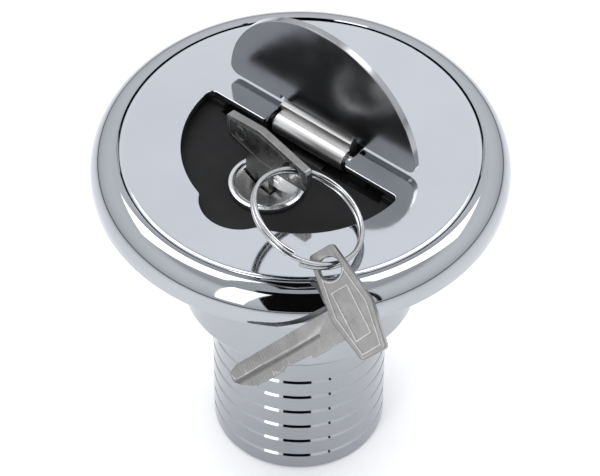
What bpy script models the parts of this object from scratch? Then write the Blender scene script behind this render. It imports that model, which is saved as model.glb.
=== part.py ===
"""A locking deck fill cap: chromed flange and hose tail, and a lift-out cap with a flap, a keyed lock and two keys.

Metres, +Z up. The origin is on the fitting's axis, in the plane of the flange's underside, which rests on the deck.
The flap's hinge runs along X, and the opening under it faces -Y. The flap stands open and the cap is unlocked.
"""

import math

import bmesh
import bpy
from mathutils import Matrix, Vector

CLEAR = 0.0003  # between pieces that touch
STEPS = 48  # sides of a large turned piece
SMALL_STEPS = 32

# Flange, cup and hose tail, one casting
RIM_R = 0.045
RIM_TOP = 0.0080
RIM_ROUND_R, RIM_ROUND_H = 0.0061, 0.0065
RIM_EDGE = 0.0006  # break at the lower edge
SEAT_R = RIM_R - RIM_ROUND_R
SEAT_Z = 0.0026
CUP_R, CUP_BOTTOM, CUP_ROUND = 0.0260, -0.0347, 0.0020
TAIL_R, TAIL_BORE_R, TAIL_BOTTOM = 0.0193, 0.0168, -0.0764
TAIL_CHAMFER = 0.0005
GROOVES, GROOVE_PITCH, FIRST_GROOVE = 6, 0.0050, 0.0044
GROOVE_H, GROOVE_DEPTH = 0.0009, 0.0004
MOUTH_R, MOUTH_BOTTOM = 0.0246, -0.0045
LEDGE_R, LEDGE_BOTTOM = 0.0218, -0.0095
CHAMBER_R, CHAMBER_BOTTOM = 0.0244, -0.0315
LUG_SLOT_R, LUG_SLOT_HALF = 0.0240, 17.0
FIXING_R, FIXING_HOLE_R, FIXING_HEAD_R = 0.0320, 0.0023, 0.0044
FIXINGS = 4
LOCK_TURN = 75.0  # the cap's turn from free to held, degrees

# Cap cover, a polished plate with a half-round opening
COVER_R = SEAT_R - CLEAR
COVER_T = 0.0016
COVER_Z = RIM_TOP - COVER_T
OPENING_R, CHORD_Y, CORNER_R = 0.0254, 0.0010, 0.0015
LOBE_Y, LOBE_R = -0.0202, 0.0086
NOTCH_HALF, NOTCH_REAR = 0.0108, 0.0092
STUDS, STUD_CIRCLE_R, STUD_R, STUD_BOTTOM = 3, 0.0312, 0.0014, 0.0032

# Plastic insert that carries the lock and plugs the neck
INSERT_R, INSERT_Z = 0.0366, SEAT_Z + CLEAR
INSERT_TOP = COVER_Z - CLEAR
PLUG_R, PLUG_BOTTOM = 0.0240, -0.0042
SEAL_GROOVE_R, SEAL_GROOVE = 0.0214, (-0.0037, -0.0009)
SKIRT_R, SKIRT_WALL, SKIRT_BOTTOM = 0.0213, 0.0017, -0.0146
CAVITY_TOP = -0.0010
LUG_R, LUG_HALF, LUG_Z = 0.0236, 14.0, (-0.0130, -0.0100)
POCKET_Z, POCKET_MARGIN = 0.0048, 0.0018
TRENCH_Y, TRENCH_HALF, TRENCH_Z = (0.0004, 0.0094), 0.0215, 0.0006
SIDE_TRENCH_Z = 0.0024
EAR_X, EAR_FRONT = (0.0113, 0.0156), 0.0024
SEAL_R, SEAL_WIRE_R = 0.02295, 0.00125
NUT_R, NUT_Z = 0.0027, (0.0030, 0.0045)

# Flap and its hinge
PIN_Y, PIN_Z, PIN_R, PIN_HALF = 0.0053, 0.0047, 0.00125, 0.0152
FLAP_R, FLAP_T = 0.0250, 0.0016
FLAP_BACK = PIN_Y + RIM_TOP - PIN_Z - 0.00005
FLAP_FRONT = FLAP_BACK - FLAP_T
FLAP_CORNER_R = 0.0022
FLAP_LOW = PIN_Z + PIN_Y - (CHORD_Y - CLEAR)
KNUCKLE_R, KNUCKLE_BORE_R = 0.0026, 0.0014
TAB_X = (-0.0102, 0.0086)
RELIEF_W, RELIEF_H = 0.0010, 0.0012

# Lock
LOCK_Y = -0.0112
BEZEL_R, BEZEL_Z = 0.0083, (0.0051, 0.0061)
BARREL_R, BARREL_BOTTOM, BARREL_BORE_R = 0.0070, -0.0150, 0.00605
HEAD_R, HEAD_Z = 0.0070, (0.0053, 0.0059)
DISH_R, DISH_Z = (0.0065, 0.0024), 0.0042
PLUG_BODY_R, PLUG_BODY_BOTTOM = 0.0059, -0.0152
TAIL_HALF, TAIL_END = 0.0025, -0.0169
FACE_SLOT_X, FACE_SLOT_Z = (-0.0063, 0.0053), 0.0033
KEYWAY_X, KEYWAY_T, KEYWAY_BOTTOM = (-0.00525, 0.0015), 0.0022, -0.0144
KEY_TURN = math.radians(-7.64)
LOCK_NUT_AF, LOCK_NUT_Z = 0.0154, (-0.0043, -0.0013)
WAFERS, WAFER_PITCH, FIRST_WAFER_Z = 5, 0.0025, 0.0012
WAFER_T, WAFER_W, WAFER_END_R = 0.0010, 0.0050, 0.0057
WAFER_WINDOW_X, WAFER_WINDOW_T = (-0.00535, 0.0016), 0.0025
EAR_END, EAR_SPAN = 0.0037, (-0.0016, -0.0006)
POCKET_SPAN = (-0.0018, 0.0032)
COIL_R, COIL_WIRE_R, COIL_TURNS = 0.00040, 0.00011, 3
CAM_Z, CAM_REACH, CAM_HUB_R, CAM_HALF = (-0.0170, -0.0155), 0.0202, 0.0052, 0.0031
CAM_CORNER = 0.0012
WASHER_Z, WASHER_R = (-0.0180, -0.0173), 0.0045
CAM_SCREW_R, CAM_HEAD_R, CAM_HEAD_Z = 0.0012, 0.0030, (-0.0201, -0.0183)
STOP_RIB_R, STOP_RIB_Z, STOP_RIB_AT = 0.0226, (-0.0220, -0.0142), 11.0

# Keys: a six-sided bow, with the blade square to its length and nearer one end
BOW_T, BLADE_T = 0.0018, 0.0016
BOW_HOLE_END, BOW_FAR_END, BOW_WIDEST = 0.0151, 0.0092, 0.0008
BOW_HALF, BOW_HOLE_HALF, BOW_FAR_HALF = 0.0049, 0.0029, 0.0030
BOW_HOLE_X, BOW_HOLE_R = 0.0107, 0.00245
SHOULDER_HALF, SHOULDER_LOW = 0.0035, -0.0119
BLADE_CUT_EDGE = ((0.00255, -0.0122), (0.0021, -0.0182), (0.0027, -0.0192), (0.0024, -0.0258))
BLADE_TIP = ((-0.0008, -0.0284), (0.0006, -0.0296), (0.0027, -0.0296), (0.0035, -0.0274))
KEY_X, KEY_Z = -0.0023, 0.0156

# Split ring through both bows
RING_CENTRE = Vector((0.018204, -0.020407, 0.014911))
RING_NORMAL = Vector((0.3227, 0.2123, 0.9224)).normalized()
RING_R, RING_WIRE_R, RING_STEP = 0.01214, 0.00052, 0.00112

# The spare key hangs over the rim: middle of its bow, directions to its hole's end and away from its blade
SPARE_AT = Vector((0.038098, -0.029727, 0.006997))
SPARE_HOLE_WAY = Vector((-0.8378, 0.3185, 0.4434)).normalized()
SPARE_UP = Vector((0.5353, 0.6391, 0.5523))


def clear_scene():
    for obj in list(bpy.data.objects):
        bpy.data.objects.remove(obj)


def collection(name):
    made = bpy.data.collections.new(name)
    bpy.context.scene.collection.children.link(made)
    return made


clear_scene()
PARTS = collection("deck_fill_cap")
CUTTERS = collection("cutters")


def material(name, colour, metallic, roughness):
    made = bpy.data.materials.new(name)
    made.use_nodes = True
    shader = made.node_tree.nodes["Principled BSDF"]
    shader.inputs["Base Color"].default_value = (*colour, 1.0)
    shader.inputs["Metallic"].default_value = metallic
    shader.inputs["Roughness"].default_value = roughness
    return made


CHROME = material("chrome", (0.82, 0.83, 0.86), 1.0, 0.05)
STAINLESS = material("polished_stainless", (0.72, 0.73, 0.76), 1.0, 0.08)
BRUSHED = material("brushed_steel", (0.55, 0.55, 0.56), 1.0, 0.32)
NICKEL = material("nickel_silver", (0.56, 0.55, 0.53), 1.0, 0.30)
BLACK_PLASTIC = material("black_plastic", (0.012, 0.012, 0.013), 0.0, 0.42)
RUBBER = material("seal_rubber", (0.02, 0.02, 0.02), 0.0, 0.7)
BRASS = material("wafer_brass", (0.72, 0.53, 0.25), 1.0, 0.3)


def place(obj, group, surface=None):
    group.objects.link(obj)
    if surface:
        obj.data.materials.append(surface)
    if group is CUTTERS:
        obj.hide_render = True
        obj.display_type = "WIRE"
    return obj


def cut(obj, cutter, operation="DIFFERENCE"):
    modifier = obj.modifiers.new(cutter.name, "BOOLEAN")
    modifier.operation = operation
    modifier.object = cutter
    return obj


def turned(name, profile, group, surface=None, steps=STEPS, closed=True):
    """A profile of (radius, height) points spun about Z. Its outer side runs from top to bottom."""
    mesh = bpy.data.meshes.new(name)
    form = bmesh.new()
    points = [form.verts.new((r, 0.0, z)) for r, z in profile]
    for first, second in zip(points, points[1:]):
        form.edges.new((first, second))
    if closed:
        form.edges.new((points[-1], points[0]))
    form.to_mesh(mesh)
    form.free()
    obj = place(bpy.data.objects.new(name, mesh), group, surface)
    screw = obj.modifiers.new("turn", "SCREW")
    screw.steps = screw.render_steps = steps
    screw.use_merge_vertices = True
    screw.merge_threshold = 0.00001
    screw.use_smooth_shade = True
    return obj


def rod(name, radius, low, high, group, surface=None, steps=SMALL_STEPS):
    profile = [(0.0, high), (radius, high), (radius, low), (0.0, low)]
    return turned(name, profile, group, surface, steps, closed=False)


def tube(name, outer, inner, low, high, group, surface=None, steps=SMALL_STEPS):
    return turned(name, [(inner, high), (outer, high), (outer, low), (inner, low)], group, surface, steps)


def plate(name, outlines, low, high, group, surface=None):
    """Closed outlines of (x, y) points, the first the edge and the rest holes, filled and given a thickness."""
    curve = bpy.data.curves.new(name, "CURVE")
    curve.dimensions = "2D"
    curve.fill_mode = "BOTH"
    curve.extrude = (high - low) / 2
    for outline in outlines:
        spline = curve.splines.new("POLY")
        spline.points.add(len(outline) - 1)
        for point, (x, y) in zip(spline.points, outline):
            point.co = (x, y, 0.0, 1.0)
        spline.use_cyclic_u = True
    guide = bpy.data.objects.new(name + "_outline", curve)
    bpy.context.scene.collection.objects.link(guide)
    graph = bpy.context.evaluated_depsgraph_get()
    mesh = bpy.data.meshes.new_from_object(guide.evaluated_get(graph))
    bpy.data.objects.remove(guide)
    mesh.name = name
    form = bmesh.new()
    form.from_mesh(mesh)
    bmesh.ops.remove_doubles(form, verts=form.verts, dist=0.000001)
    bmesh.ops.translate(form, verts=form.verts, vec=(0.0, 0.0, (high + low) / 2))
    bmesh.ops.recalc_face_normals(form, faces=form.faces)
    form.to_mesh(mesh)
    form.free()
    mesh.materials.clear()
    return place(bpy.data.objects.new(name, mesh), group, surface)


def block(name, low, high, group, surface=None):
    """A box between two corners."""
    mesh = bpy.data.meshes.new(name)
    form = bmesh.new()
    bmesh.ops.create_cube(form, size=1.0)
    size = [b - a for a, b in zip(low, high)]
    middle = [(a + b) / 2 for a, b in zip(low, high)]
    bmesh.ops.scale(form, verts=form.verts, vec=size)
    bmesh.ops.translate(form, verts=form.verts, vec=middle)
    form.to_mesh(mesh)
    form.free()
    return place(bpy.data.objects.new(name, mesh), group, surface)


def arc(centre, radius, start, end, count):
    """Points on a circle from one angle to another, in degrees."""
    angles = [math.radians(start + (end - start) * i / count) for i in range(count + 1)]
    return [(centre[0] + radius * math.cos(a), centre[1] + radius * math.sin(a)) for a in angles]


def circle(centre, radius, count):
    return arc(centre, radius, 0.0, 360.0, count)[:-1]


def sector(inner, outer, middle, half):
    return arc((0, 0), outer, middle - half, middle + half, 6) + arc((0, 0), inner, middle + half, middle - half, 6)


def rounded(corners, radii, count=4):
    """A polygon's corners, run anticlockwise, each rounded by an arc of its own radius."""
    made = []
    for i, corner in enumerate(corners):
        here = Vector(corner)
        back = (Vector(corners[i - 1]) - here).normalized()
        ahead = (Vector(corners[(i + 1) % len(corners)]) - here).normalized()
        half = math.acos(max(-1.0, min(1.0, back.dot(ahead)))) / 2
        if radii[i] == 0:
            made.append(tuple(here))
            continue
        centre = here + (back + ahead).normalized() * radii[i] / math.sin(half)
        first = here + back * radii[i] / math.tan(half) - centre
        last = here + ahead * radii[i] / math.tan(half) - centre
        sweep = first.angle_signed(last)
        for step in range(count + 1):
            turn = Matrix.Rotation(-sweep * step / count, 2)
            made.append(tuple(centre + turn @ first))
    return made


def half_round(radius, chord, corner_r, count=40):
    """A half disc below a straight chord, with its two corners rounded, run anticlockwise from the left corner."""
    reach = math.sqrt((radius - corner_r) ** 2 - (chord - corner_r) ** 2)
    tilt = math.degrees(math.atan2(chord - corner_r, reach))
    left = arc((-reach, chord - corner_r), corner_r, 90.0, 180.0 - tilt, 5)
    bow = arc((0, 0), radius, 180.0 - tilt, 360.0 + tilt, count)[1:-1]
    right = arc((reach, chord - corner_r), corner_r, tilt, 90.0, 5)
    return left + bow + right


def with_lobe(outline, lobe_y, lobe_r, count=12):
    """Adds a round finger lobe to the middle of a half disc's curved side."""
    inside = [p for p in outline if math.hypot(p[0], p[1] - lobe_y) > lobe_r + 0.0004]
    first_right = next(i for i, p in enumerate(inside) if p[0] > 0 and p[1] < lobe_y)
    join = math.degrees(math.asin(min(1.0, (inside[first_right][1] - lobe_y + 0.0003) / lobe_r)))
    lobe = arc((0, lobe_y), lobe_r, 180.0 - join, 360.0 + join, count)
    return inside[:first_right] + lobe + inside[first_right:]


def opening_outline():
    outline = with_lobe(half_round(OPENING_R, CHORD_Y, CORNER_R), LOBE_Y, LOBE_R)
    notch = [(NOTCH_HALF, CHORD_Y), (NOTCH_HALF, NOTCH_REAR), (-NOTCH_HALF, NOTCH_REAR), (-NOTCH_HALF, CHORD_Y)]
    return outline + notch


def rim_profile():
    """The flange's round edge, from the seat's edge over the top and down to the underside."""
    top = []
    for step in range(11):
        angle = math.radians(90.0 * step / 10)
        top.append((SEAT_R + RIM_ROUND_R * math.sin(angle), RIM_TOP - RIM_ROUND_H * (1 - math.cos(angle))))
    return top + [(RIM_R, RIM_EDGE), (RIM_R - RIM_EDGE, 0.0)]


def tail_profile():
    """The hose tail's outer side, with its shallow grooves, from the cup down to its end."""
    points = []
    for groove in reversed(range(GROOVES)):
        middle = TAIL_BOTTOM + FIRST_GROOVE + groove * GROOVE_PITCH
        points.append((TAIL_R, middle + GROOVE_H / 2))
        points.append((TAIL_R - GROOVE_DEPTH, middle + GROOVE_H / 4))
        points.append((TAIL_R - GROOVE_DEPTH, middle - GROOVE_H / 4))
        points.append((TAIL_R, middle - GROOVE_H / 2))
    return points + [(TAIL_R, TAIL_BOTTOM + TAIL_CHAMFER), (TAIL_R - TAIL_CHAMFER, TAIL_BOTTOM)]


def make_deck_body():
    cup = [(CUP_R, 0.0)]
    for step in range(5):
        angle = math.radians(90.0 * step / 4)
        r = CUP_R - CUP_ROUND * (1 - math.cos(angle))
        cup.append((r, CUP_BOTTOM + CUP_ROUND * (1 - math.sin(angle))))
    inside = [
        (TAIL_BORE_R, TAIL_BOTTOM),
        (TAIL_BORE_R, CHAMBER_BOTTOM - 0.0015),
        (TAIL_BORE_R + 0.0015, CHAMBER_BOTTOM),
        (CHAMBER_R, CHAMBER_BOTTOM),
        (CHAMBER_R, LEDGE_BOTTOM),
        (LEDGE_R, LEDGE_BOTTOM),
        (LEDGE_R, MOUTH_BOTTOM),
        (MOUTH_R, MOUTH_BOTTOM),
        (MOUTH_R, SEAT_Z),
        (SEAT_R, SEAT_Z),
    ]
    profile = rim_profile() + cup + [(TAIL_R, CUP_BOTTOM)] + tail_profile() + inside
    body = turned("deck_body", profile, PARTS, CHROME)
    for side in (0.0, 180.0):
        slot = sector(LEDGE_R - 0.002, LUG_SLOT_R, side, LUG_SLOT_HALF)
        name = f"lug_slot_{int(side)}"
        cut(body, plate(name, [slot], LEDGE_BOTTOM - 0.001, MOUTH_BOTTOM + 0.001, CUTTERS))
    for i in range(FIXINGS):
        angle = math.radians(45.0 + 360.0 * i / FIXINGS)
        depth = FIXING_HEAD_R - FIXING_HOLE_R
        hole = [(0.0, SEAT_Z + 0.001), (FIXING_HEAD_R, SEAT_Z + 0.001), (FIXING_HEAD_R, SEAT_Z)]
        hole += [(FIXING_HOLE_R, SEAT_Z - depth), (FIXING_HOLE_R, -0.001), (0.0, -0.001)]
        cutter = turned(f"fixing_hole_{i + 1}", hole, CUTTERS, steps=16, closed=False)
        cutter.location = (FIXING_R * math.cos(angle), FIXING_R * math.sin(angle), 0.0)
        cut(body, cutter)
    # two ribs between which the lock's cam stops the cap from turning back, and one that stops the lug
    cam_angle = math.degrees(math.atan2(LOCK_Y - CAM_HALF + CAM_CORNER, CAM_REACH)) - LOCK_TURN
    for i, side in enumerate((-1, 1)):
        rib = sector(STOP_RIB_R, CHAMBER_R + 0.0005, cam_angle + side * STOP_RIB_AT, 2.5)
        cut(body, plate(f"cam_rib_{i + 1}", [rib], *STOP_RIB_Z, CUTTERS), "UNION")
    stop = sector(LEDGE_R + 0.0004, CHAMBER_R + 0.0005, -LOCK_TURN - LUG_HALF - 4.0, 2.5)
    cut(body, plate("lug_stop", [stop], LUG_Z[0], LEDGE_BOTTOM + 0.0005, CUTTERS), "UNION")
    return body


def make_cap_cover():
    outlines = [circle((0, 0), COVER_R, 96), opening_outline()]
    cover = plate("cap_cover", outlines, COVER_Z, RIM_TOP, PARTS, STAINLESS)
    for i in range(STUDS):
        angle = math.radians(90.0 + 360.0 * i / STUDS)
        stud = rod(f"cover_stud_{i + 1}", STUD_R, STUD_BOTTOM, COVER_Z + 0.0005, CUTTERS, steps=12)
        stud.location = (STUD_CIRCLE_R * math.cos(angle), STUD_CIRCLE_R * math.sin(angle), 0.0)
        cut(cover, stud, "UNION")
    return cover


def make_cover_nuts():
    for i in range(STUDS):
        angle = math.radians(90.0 + 360.0 * i / STUDS)
        across = arc((0, 0), NUT_R, 0.0, 360.0, 6)[:-1]
        nut = plate(f"cover_nut_{i + 1}", [across, circle((0, 0), STUD_R + 0.0002, 12)], *NUT_Z, PARTS, BRUSHED)
        nut.location = (STUD_CIRCLE_R * math.cos(angle), STUD_CIRCLE_R * math.sin(angle), 0.0)


def make_cap_insert():
    inner = SKIRT_R - SKIRT_WALL
    profile = [(0.0, INSERT_TOP), (INSERT_R, INSERT_TOP), (INSERT_R, INSERT_Z), (PLUG_R, INSERT_Z)]
    profile += [(PLUG_R, SEAL_GROOVE[1]), (SEAL_GROOVE_R, SEAL_GROOVE[1]), (SEAL_GROOVE_R, SEAL_GROOVE[0])]
    profile += [(PLUG_R, SEAL_GROOVE[0]), (PLUG_R, PLUG_BOTTOM), (SKIRT_R, PLUG_BOTTOM), (SKIRT_R, SKIRT_BOTTOM)]
    profile += [(inner, SKIRT_BOTTOM), (inner, CAVITY_TOP), (0.0, CAVITY_TOP)]
    insert = turned("cap_insert", profile, PARTS, BLACK_PLASTIC, closed=False)
    pocket = half_round(OPENING_R + POCKET_MARGIN, CHORD_Y - 0.0006, CORNER_R, 30)
    pocket = with_lobe(pocket, LOBE_Y, LOBE_R + POCKET_MARGIN, 10)
    cut(insert, plate("pocket", [pocket], POCKET_Z, INSERT_TOP + 0.001, CUTTERS))
    front, rear = TRENCH_Y
    top = INSERT_TOP + 0.001
    ear_in, ear_out = EAR_X
    boxes = {
        "trench_middle": ((-ear_in, front, TRENCH_Z), (ear_in, rear, top)),
        "trench_front": ((-TRENCH_HALF, front - 0.001, SIDE_TRENCH_Z), (TRENCH_HALF, EAR_FRONT, top)),
        "trench_left": ((-TRENCH_HALF, front, SIDE_TRENCH_Z), (-ear_out, rear, top)),
        "trench_right": ((ear_out, front, SIDE_TRENCH_Z), (TRENCH_HALF, rear, top)),
        "pin_slot": ((-PIN_HALF - CLEAR, PIN_Y - PIN_R - 0.0002, PIN_Z), (PIN_HALF + CLEAR, PIN_Y + PIN_R + 0.0002, top)),
    }
    for name, (low, high) in boxes.items():
        cut(insert, block(name, low, high, CUTTERS))
    bed = rod("pin_bed", PIN_R + 0.0002, -PIN_HALF - CLEAR, PIN_HALF + CLEAR, CUTTERS, steps=24)
    bed.rotation_euler = (0.0, math.pi / 2, 0.0)
    bed.location = (0.0, PIN_Y, PIN_Z)
    cut(insert, bed)
    hole = rod("lock_hole", BARREL_R + CLEAR, CAVITY_TOP - 0.001, POCKET_Z + 0.001, CUTTERS)
    hole.location.y = LOCK_Y
    cut(insert, hole)
    for i in range(STUDS):
        angle = math.radians(90.0 + 360.0 * i / STUDS)
        seat = [(0.0, top), (STUD_R + CLEAR, top), (STUD_R + CLEAR, NUT_Z[1] + 0.0002)]
        seat += [(NUT_R + CLEAR, NUT_Z[1] + 0.0002), (NUT_R + CLEAR, INSERT_Z - 0.001), (0.0, INSERT_Z - 0.001)]
        cutter = turned(f"nut_seat_{i + 1}", seat, CUTTERS, steps=16, closed=False)
        cutter.location = (STUD_CIRCLE_R * math.cos(angle), STUD_CIRCLE_R * math.sin(angle), 0.0)
        cut(insert, cutter)
    for side in (0.0, 180.0):
        lug = sector(SKIRT_R - 0.001, LUG_R, side, LUG_HALF)
        cut(insert, plate(f"lug_{int(side)}", [lug], *LUG_Z, CUTTERS), "UNION")
    return insert


def make_cap_seal():
    middle = (SEAL_GROOVE[0] + SEAL_GROOVE[1]) / 2
    section = [(SEAL_R + x, middle - y) for x, y in circle((0, 0), SEAL_WIRE_R, 8)]
    return turned("cap_seal", section, PARTS, RUBBER, steps=48)


def make_hinge_pin():
    pin = rod("hinge_pin", PIN_R, -PIN_HALF, PIN_HALF, PARTS, BRUSHED, steps=20)
    pin.rotation_euler = (0.0, math.pi / 2, 0.0)
    pin.location = (0.0, PIN_Y, PIN_Z)


def side_on(obj, x):
    """Turns a plate drawn in (y, z) to stand across X, with its lower face at x."""
    obj.matrix_world = Matrix(((0, 0, 1, x), (1, 0, 0, 0), (0, 1, 0, 0), (0, 0, 0, 1)))
    return obj


def make_flap_spring():
    """A bowed leaf under the knuckle, which holds the flap where it is left."""
    half = 0.0040
    bow = 0.0005
    low = TRENCH_Z + CLEAR
    upper = [(0.0013 + 0.0077 * i / 6, low + 0.00035 + bow * math.sin(math.pi * i / 6)) for i in range(7)]
    lower = [(y, z - 0.00035) for y, z in upper]
    leaf = plate("flap_spring", [lower + upper[::-1]], 0.0, 2 * half, PARTS, BRUSHED)
    side_on(leaf, -half)


def make_flap():
    """Stands open. The plate is drawn in (x, z) about the pin, and the tab with its rolled knuckle in (y, z)."""
    rise = FLAP_LOW - PIN_Z
    outline = half_round(FLAP_R, CHORD_Y - CLEAR, FLAP_CORNER_R)
    centre_rise = rise + CHORD_Y - CLEAR
    relief = []
    for edge, side in ((TAB_X[1], 1), (TAB_X[0], -1)):
        slot = [(edge + side * RELIEF_W, rise), (edge + side * RELIEF_W, rise + RELIEF_H), (edge, rise + RELIEF_H)]
        relief += slot + [(edge, rise)] if side == 1 else [(edge, rise)] + slot[::-1]
    standing = [(x, centre_rise - y) for x, y in outline]
    flap = plate("flap", [standing + relief], 0.0, FLAP_T, PARTS, STAINLESS)
    stand = Matrix(((1, 0, 0, 0), (0, 0, -1, FLAP_BACK - PIN_Y), (0, 1, 0, 0), (0, 0, 0, 1)))
    flap.data.transform(stand)
    back, front = FLAP_BACK - PIN_Y, FLAP_FRONT - PIN_Y
    top = rise + RELIEF_H + 0.0008
    fillet = arc((front - 0.0016, rise + 0.0010), 0.0016, 0.0, -62.0, 5)
    barrel = arc((0, 0), KNUCKLE_R, 78.0, 330.0, 22)
    tab = fillet + barrel + [(back - 0.0008, -0.0008), (back, 0.0), (back, top), (front, top)]
    knuckle = plate("flap_knuckle", [tab], TAB_X[0], TAB_X[1], CUTTERS)
    side_on(knuckle, 0.0)
    knuckle.parent = flap
    bore = rod("knuckle_bore", KNUCKLE_BORE_R, TAB_X[0] - 0.001, TAB_X[1] + 0.001, CUTTERS, steps=24)
    bore.rotation_euler = (0.0, math.pi / 2, 0.0)
    bore.parent = flap
    flap.location = (0.0, PIN_Y, PIN_Z)
    cut(flap, knuckle, "UNION")
    cut(flap, bore)
    return flap


def lock_axis():
    """An empty on the lock's axis, turned as the keyway lies."""
    empty = bpy.data.objects.new("lock_axis", None)
    PARTS.objects.link(empty)
    empty.location = (0.0, LOCK_Y, 0.0)
    empty.rotation_euler = (0.0, 0.0, KEY_TURN)
    return empty


def make_lock_barrel(axis):
    seat_r, seat_z = HEAD_R + 0.0002, HEAD_Z[0] - 0.0001
    profile = [(seat_r, BEZEL_Z[1]), (BEZEL_R - CLEAR, BEZEL_Z[1]), (BEZEL_R, BEZEL_Z[1] - CLEAR)]
    profile += [(BEZEL_R, BEZEL_Z[0]), (BARREL_R, BEZEL_Z[0]), (BARREL_R, BARREL_BOTTOM)]
    profile += [(BARREL_BORE_R, BARREL_BOTTOM), (BARREL_BORE_R, seat_z), (seat_r, seat_z)]
    barrel = turned("lock_barrel", profile, PARTS, CHROME, steps=40)
    barrel.parent = axis
    low = FIRST_WAFER_Z - WAFERS * WAFER_PITCH
    groove = block("wafer_groove", (-0.0064, -0.0018, low), (0.0064, 0.0018, FIRST_WAFER_Z + 0.0012), CUTTERS)
    groove.parent = axis
    cut(barrel, groove)


def make_lock_nut():
    across = [(LOCK_NUT_AF / math.sqrt(3) * math.cos(a), LOCK_NUT_AF / math.sqrt(3) * math.sin(a))
              for a in (math.radians(60.0 * i) for i in range(6))]
    nut = plate("lock_nut", [across, circle((0, 0), BARREL_R + 0.0002, 32)], *LOCK_NUT_Z, PARTS, BRUSHED)
    nut.location.y = LOCK_Y


def make_lock_plug(axis):
    profile = [(0.0, DISH_Z), (DISH_R[1], DISH_Z), (DISH_R[0], HEAD_Z[1]), (HEAD_R, HEAD_Z[1]), (HEAD_R, HEAD_Z[0])]
    profile += [(PLUG_BODY_R, HEAD_Z[0]), (PLUG_BODY_R, PLUG_BODY_BOTTOM), (0.0, PLUG_BODY_BOTTOM)]
    plug = turned("lock_plug", profile, PARTS, CHROME, steps=40, closed=False)
    plug.parent = axis
    half = TAIL_HALF
    tail = block("plug_tail", (-half, -half, TAIL_END), (half, half, PLUG_BODY_BOTTOM + 0.0005), CUTTERS)
    tail.rotation_euler.z = -KEY_TURN
    tapped = rod("plug_tapping", CAM_SCREW_R + 0.0002, TAIL_END - 0.001, KEYWAY_BOTTOM + 0.0005, CUTTERS, steps=16)
    thick = KEYWAY_T / 2
    keyway = block("keyway", (KEYWAY_X[0], -thick, KEYWAY_BOTTOM), (KEYWAY_X[1], thick, 0.008), CUTTERS)
    face_low = (FACE_SLOT_X[0], -thick - 0.0001, FACE_SLOT_Z)
    face_slot = block("face_slot", face_low, (FACE_SLOT_X[1], thick + 0.0001, 0.008), CUTTERS)
    tail.parent = axis
    cut(plug, tail, "UNION")
    for cutter in (tapped, keyway, face_slot):
        cutter.parent = axis
        cut(plug, cutter)
    for i in range(WAFERS):
        low = FIRST_WAFER_Z - i * WAFER_PITCH - 0.00015
        high = low + WAFER_T + 0.0003
        across = (WAFER_W + 0.0002) / 2
        slot = block(f"wafer_slot_{i + 1}", (-0.0062, -across, low), (0.0062, across, high), CUTTERS)
        pocket_low = (POCKET_SPAN[0], across - 0.0005, low)
        pocket = block(f"spring_pocket_{i + 1}", pocket_low, (POCKET_SPAN[1], EAR_END + 0.0002, high), CUTTERS)
        for cutter in (slot, pocket):
            cutter.parent = axis
            cut(plug, cutter)


def make_wafers(axis):
    """Brass wafers with a window for the blade, each with an ear that its spring pushes."""
    angle = math.degrees(math.asin(WAFER_W / 2 / WAFER_END_R))
    right = arc((0, 0), WAFER_END_R, -angle, angle, 4)
    left = arc((0, 0), WAFER_END_R, 180.0 - angle, 180.0 + angle, 4)
    side = WAFER_W / 2
    ear = [(EAR_SPAN[1], side), (EAR_SPAN[1], EAR_END), (EAR_SPAN[0], EAR_END), (EAR_SPAN[0], side)]
    (first, last), thick = WAFER_WINDOW_X, WAFER_WINDOW_T / 2
    window = [(first, -thick), (last, -thick), (last, thick), (first, thick)]
    for i in range(WAFERS):
        low = FIRST_WAFER_Z - i * WAFER_PITCH
        wafer = plate(f"wafer_{i + 1}", [right + ear + left, window], low, low + WAFER_T, PARTS, BRASS)
        wafer.parent = axis


def coil(name, turns, radius, pitch, wire, per_turn, sides, surface):
    """A helix along X as a bevelled curve."""
    curve = bpy.data.curves.new(name, "CURVE")
    curve.dimensions = "3D"
    curve.bevel_depth = wire
    curve.bevel_resolution = sides
    curve.use_fill_caps = True
    count = int(turns * per_turn) + 1
    spline = curve.splines.new("POLY")
    spline.points.add(count - 1)
    for i, point in enumerate(spline.points):
        angle = 2 * math.pi * i / per_turn
        point.co = (pitch * i / per_turn, radius * math.cos(angle), radius * math.sin(angle), 1.0)
    return place(bpy.data.objects.new(name, curve), PARTS, surface)


def make_wafer_springs(axis):
    start = EAR_SPAN[1] + COIL_WIRE_R + 0.0001
    end = POCKET_SPAN[1] - COIL_WIRE_R - 0.0001
    for i in range(WAFERS):
        spring = coil(
            f"wafer_spring_{i + 1}", COIL_TURNS, COIL_R, (end - start) / COIL_TURNS, COIL_WIRE_R, 8, 0, BRUSHED
        )
        middle = FIRST_WAFER_Z - i * WAFER_PITCH + WAFER_T / 2
        spring.location = (start, (WAFER_W / 2 + EAR_END) / 2 + 0.0001, middle)
        spring.parent = axis


def make_lock_cam():
    """Points inwards while the lock is open. A quarter turn swings its tip past the insert's skirt."""
    tip = CAM_REACH
    reach = math.degrees(math.asin(CAM_HALF / CAM_HUB_R))
    hub = arc((0, 0), CAM_HUB_R, 90.0 + reach, 450.0 - reach, 24)
    corner = CAM_CORNER
    arm = [(CAM_HALF, tip - corner), (CAM_HALF - corner, tip), (corner - CAM_HALF, tip), (-CAM_HALF, tip - corner)]
    half = TAIL_HALF + 0.0001
    square = [(-half, -half), (half, -half), (half, half), (-half, half)]
    cam = plate("lock_cam", [hub + arm, square], *CAM_Z, PARTS, BRUSHED)
    cam.location.y = LOCK_Y


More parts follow.
